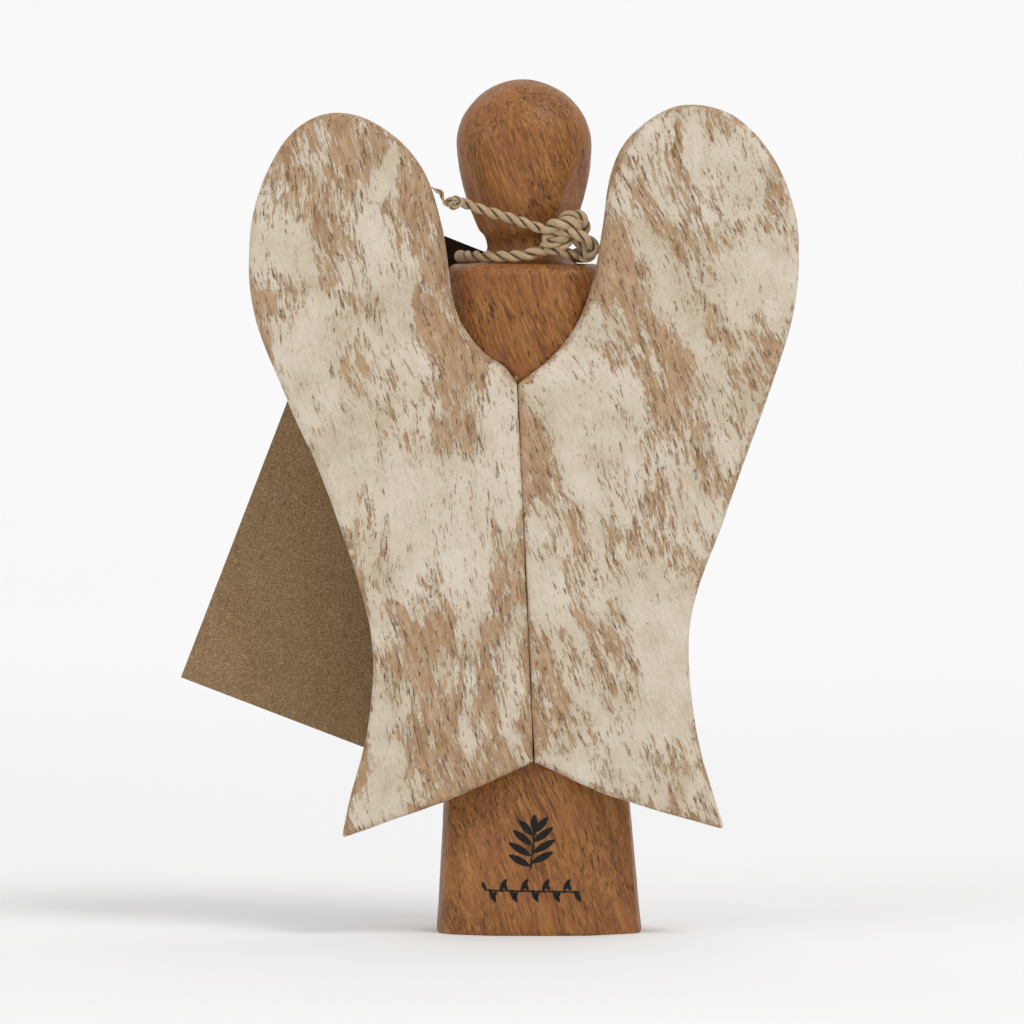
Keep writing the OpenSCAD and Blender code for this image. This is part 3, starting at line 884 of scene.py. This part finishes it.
def make_tag(material_for):
    """A stiff card: cut, punched, bowed a little, then hung at its angle."""
    deselect()
    bpy.ops.mesh.primitive_grid_add(x_subdivisions=36, y_subdivisions=75, size=1, location=(0, 0, 0))
    card = bpy.context.object
    card.scale = (TAG_W, TAG_L, 1)
    card.location = (0, HOLE_DROP - TAG_L / 2, 0)
    apply_place(card)
    card.rotation_euler = (math.radians(90), 0, 0)
    apply_place(card)
    for vertex in card.data.vertices:
        p = vertex.co
        far = max(-p.z / TAG_L, 0)
        p.y += TAG_BOW * far * (1 - (p.x / (TAG_W / 2)) ** 2) - TAG_CURL * far * far
    modify(card, "SOLIDIFY", thickness=TAG_T, offset=0)
    deselect()
    bpy.ops.mesh.primitive_cylinder_add(vertices=40, radius=HOLE_R, depth=0.01, location=(0, 0, 0),
                                        rotation=(math.radians(90), 0, 0))
    punch = bpy.context.object
    apply_place(punch)
    modify(card, "BOOLEAN", operation="DIFFERENCE", solver="EXACT", object=punch)
    bpy.data.objects.remove(punch)
    tilt = hang_angle()
    place = Matrix.Translation(HOLE_AT) @ Matrix.Rotation(TAG_TURN, 4, "Z") @ Matrix.Rotation(-tilt, 4, "Y")
    card.data.transform(place)
    pick(card)
    bpy.ops.object.shade_smooth_by_angle(angle=math.radians(30))
    up = place.to_3x3() @ Vector((0, 0, 1))
    # where the painted shade band along the card's top edge begins
    start = up.dot(HOLE_AT) + HOLE_DROP - SHADE_BAND_H
    return name_piece(card, "card_tag", material_for(up, start), "card", TAG, "hang_tag")


def leaf(foot, tip, width, parts):
    """One flat leaf from foot to tip, drawn on the XZ plane behind the base."""
    deselect()
    bpy.ops.mesh.primitive_grid_add(x_subdivisions=4, y_subdivisions=8, size=1, location=(0, 0.5, 0))
    shape = bpy.context.object
    apply_place(shape)
    foot, tip = Vector((foot[0], 0, foot[1])) * MM, Vector((tip[0], 0, tip[1])) * MM
    way = tip - foot
    side = Vector((way.z, 0, -way.x)).normalized()
    for vertex in shape.data.vertices:
        x, t = vertex.co.x, min(max(vertex.co.y, 0), 1)
        wide = max(math.sin(math.pi * (0.04 + 0.93 * t)), 0.05) ** 0.8
        vertex.co = foot + way * t + side * x * width * MM * wide + Vector((0, 0.03, 0))
    parts.append(shape)


def make_stamp(block, material):
    """A small ink stamp on the back of the base: an upright sprig over a lying one."""
    parts = []
    stem = [(2.6, 19.2), (2.2, 23), (1.7, 27), (1.6, 31)]
    for a, b in zip(stem, stem[1:]):
        leaf(a, (b[0], b[1] + 0.5), 0.7, parts)
    for x, z, reach, rise in ((2.5, 20.4, 6.4, 3.2), (2.2, 23.4, 6.8, 3.8), (1.9, 26.6, 5.8, 4.2),
                              (1.7, 29.4, 4.2, 4.4)):
        leaf((x + 0.3, z), (x + reach, z + rise), 2.1, parts)
        leaf((x - 0.3, z + 0.9), (x - reach, z + rise + 0.9), 2.1, parts)
    leaf((1.6, 30.4), (1.5, 35.4), 2.2, parts)
    for i in range(9):
        x = 14.6 - 3.1 * i
        leaf((x + 1.6, 13.2 - 0.05 * i), (x - 2.0, 13.2 - 0.05 * i), 0.6, parts)
        up = 1 if i % 2 else -1
        leaf((x, 13.2), (x - 1.9, 13.2 + up * 3.4), 1.5, parts)
        leaf((x + 1.0, 13.2), (x + 2.2, 13.2 - up * 2.4), 1.1, parts)
    stamp = join(parts)
    modify(stamp, "SHRINKWRAP", target=block, wrap_method="PROJECT", use_project_y=True,
           use_negative_direction=True, use_positive_direction=True, offset=0.00004)
    modify(stamp, "SOLIDIFY", thickness=0.00006, offset=0)
    return name_piece(stamp, "base_stamp", material, "brown_wood", FIGURE)


def make_glue(material):
    """A hard drop of glue at the tip of the V."""
    deselect()
    bpy.ops.mesh.primitive_uv_sphere_add(segments=24, ring_count=16, radius=0.0013,
                                         location=(0.0068, 0.0205, 0.1622), scale=(0.9, 0.75, 1.1))
    drop = bpy.context.object
    apply_place(drop)
    rub(drop, 0.0006, 0.0016)
    pick(drop)
    bpy.ops.object.shade_smooth()
    return name_piece(drop, "glue_drop", material, "whitewash", FIGURE)


# ---------- floor and light ----------

def make_floor():
    """A pale sweep: flat under the figure, curving up behind it."""
    deselect()
    bpy.ops.mesh.primitive_plane_add(size=1, location=(0, 1, -0.0001))
    floor = bpy.context.object
    floor.scale = (6, 6, 1)
    apply_place(floor)
    choose_none("EDGE")
    for edge in floor.data.edges:
        if all(floor.data.vertices[i].co.y < -1.9 for i in edge.vertices):
            edge.select = True
    bpy.ops.object.mode_set(mode="EDIT")
    bends = 12
    for i in range(1, bends + 1):
        a = math.radians(90 * i / bends)
        before = math.radians(90 * (i - 1) / bends)
        step = Vector((0, math.sin(before) - math.sin(a), math.cos(before) - math.cos(a)))
        bpy.ops.mesh.extrude_region_move(TRANSFORM_OT_translate={"value": step})
    bpy.ops.mesh.extrude_region_move(TRANSFORM_OT_translate={"value": (0, 0, 2.5)})
    bpy.ops.object.mode_set(mode="OBJECT")
    bpy.ops.object.shade_smooth()
    f = Finish("pale sweep", Roughness=0.9, Specular_IOR_Level=0.1)
    f.put(f.shader, "Base Color", (0.90, 0.90, 0.90, 1))
    floor.name = "pale_sweep"
    floor.data.materials.append(f.material)


def area_light(place, target, size, power):
    """A white panel of light aimed at a target."""
    deselect()
    bpy.ops.object.light_add(type="AREA", location=place)
    light = bpy.context.object
    light.rotation_euler = (Vector(target) - Vector(place)).to_track_quat("-Z", "Y").to_euler()
    light.data.shape = "RECTANGLE"
    light.data.size, light.data.size_y = size
    light.data.energy = power


def make_light():
    """An even room, two panels for the figure and one for the sweep beyond it."""
    world = bpy.data.worlds.new("soft room")
    scene.world = world
    world.use_nodes = True
    back = world.node_tree.nodes["Background"]
    back.inputs["Color"].default_value = (1.0, 1.0, 1.0, 1)
    back.inputs["Strength"].default_value = 0.66
    middle = (0, 0, 0.12)
    area_light((-0.8, 0.9, 1.7), middle, size=(0.7, 0.7), power=13)
    area_light((1.2, 1.1, 0.9), middle, size=(0.9, 0.9), power=4)
    area_light((0, -1.6, 1.8), (0, -2.2, 0.4), size=(3.0, 1.0), power=14)
    scene.view_settings.view_transform = "Standard"
    scene.view_settings.look = "None"


# ---------- making ----------

twine = grass_twine()
make_cords(twine)
block = make_body(brown_wood())
make_wing("wing_left", "left_wing_board", whitewash("whitewash left", -12, 0.0))
make_wing("wing_right", "right_wing_board", whitewash("whitewash right", -20, 0.35))
make_knot(twine)
make_tail_knot(twine)
make_tag(kraft_card)
make_stamp(block, black_ink())
make_glue(old_glue())
dowel = plain_dowel()
for name in ("wing_dowels_left", "wing_dowels_right"):
    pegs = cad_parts[name]
    pegs.data.materials.clear()
    pegs.data.materials.append(dowel)
make_floor()
make_light()
scene.name = "carved angel"
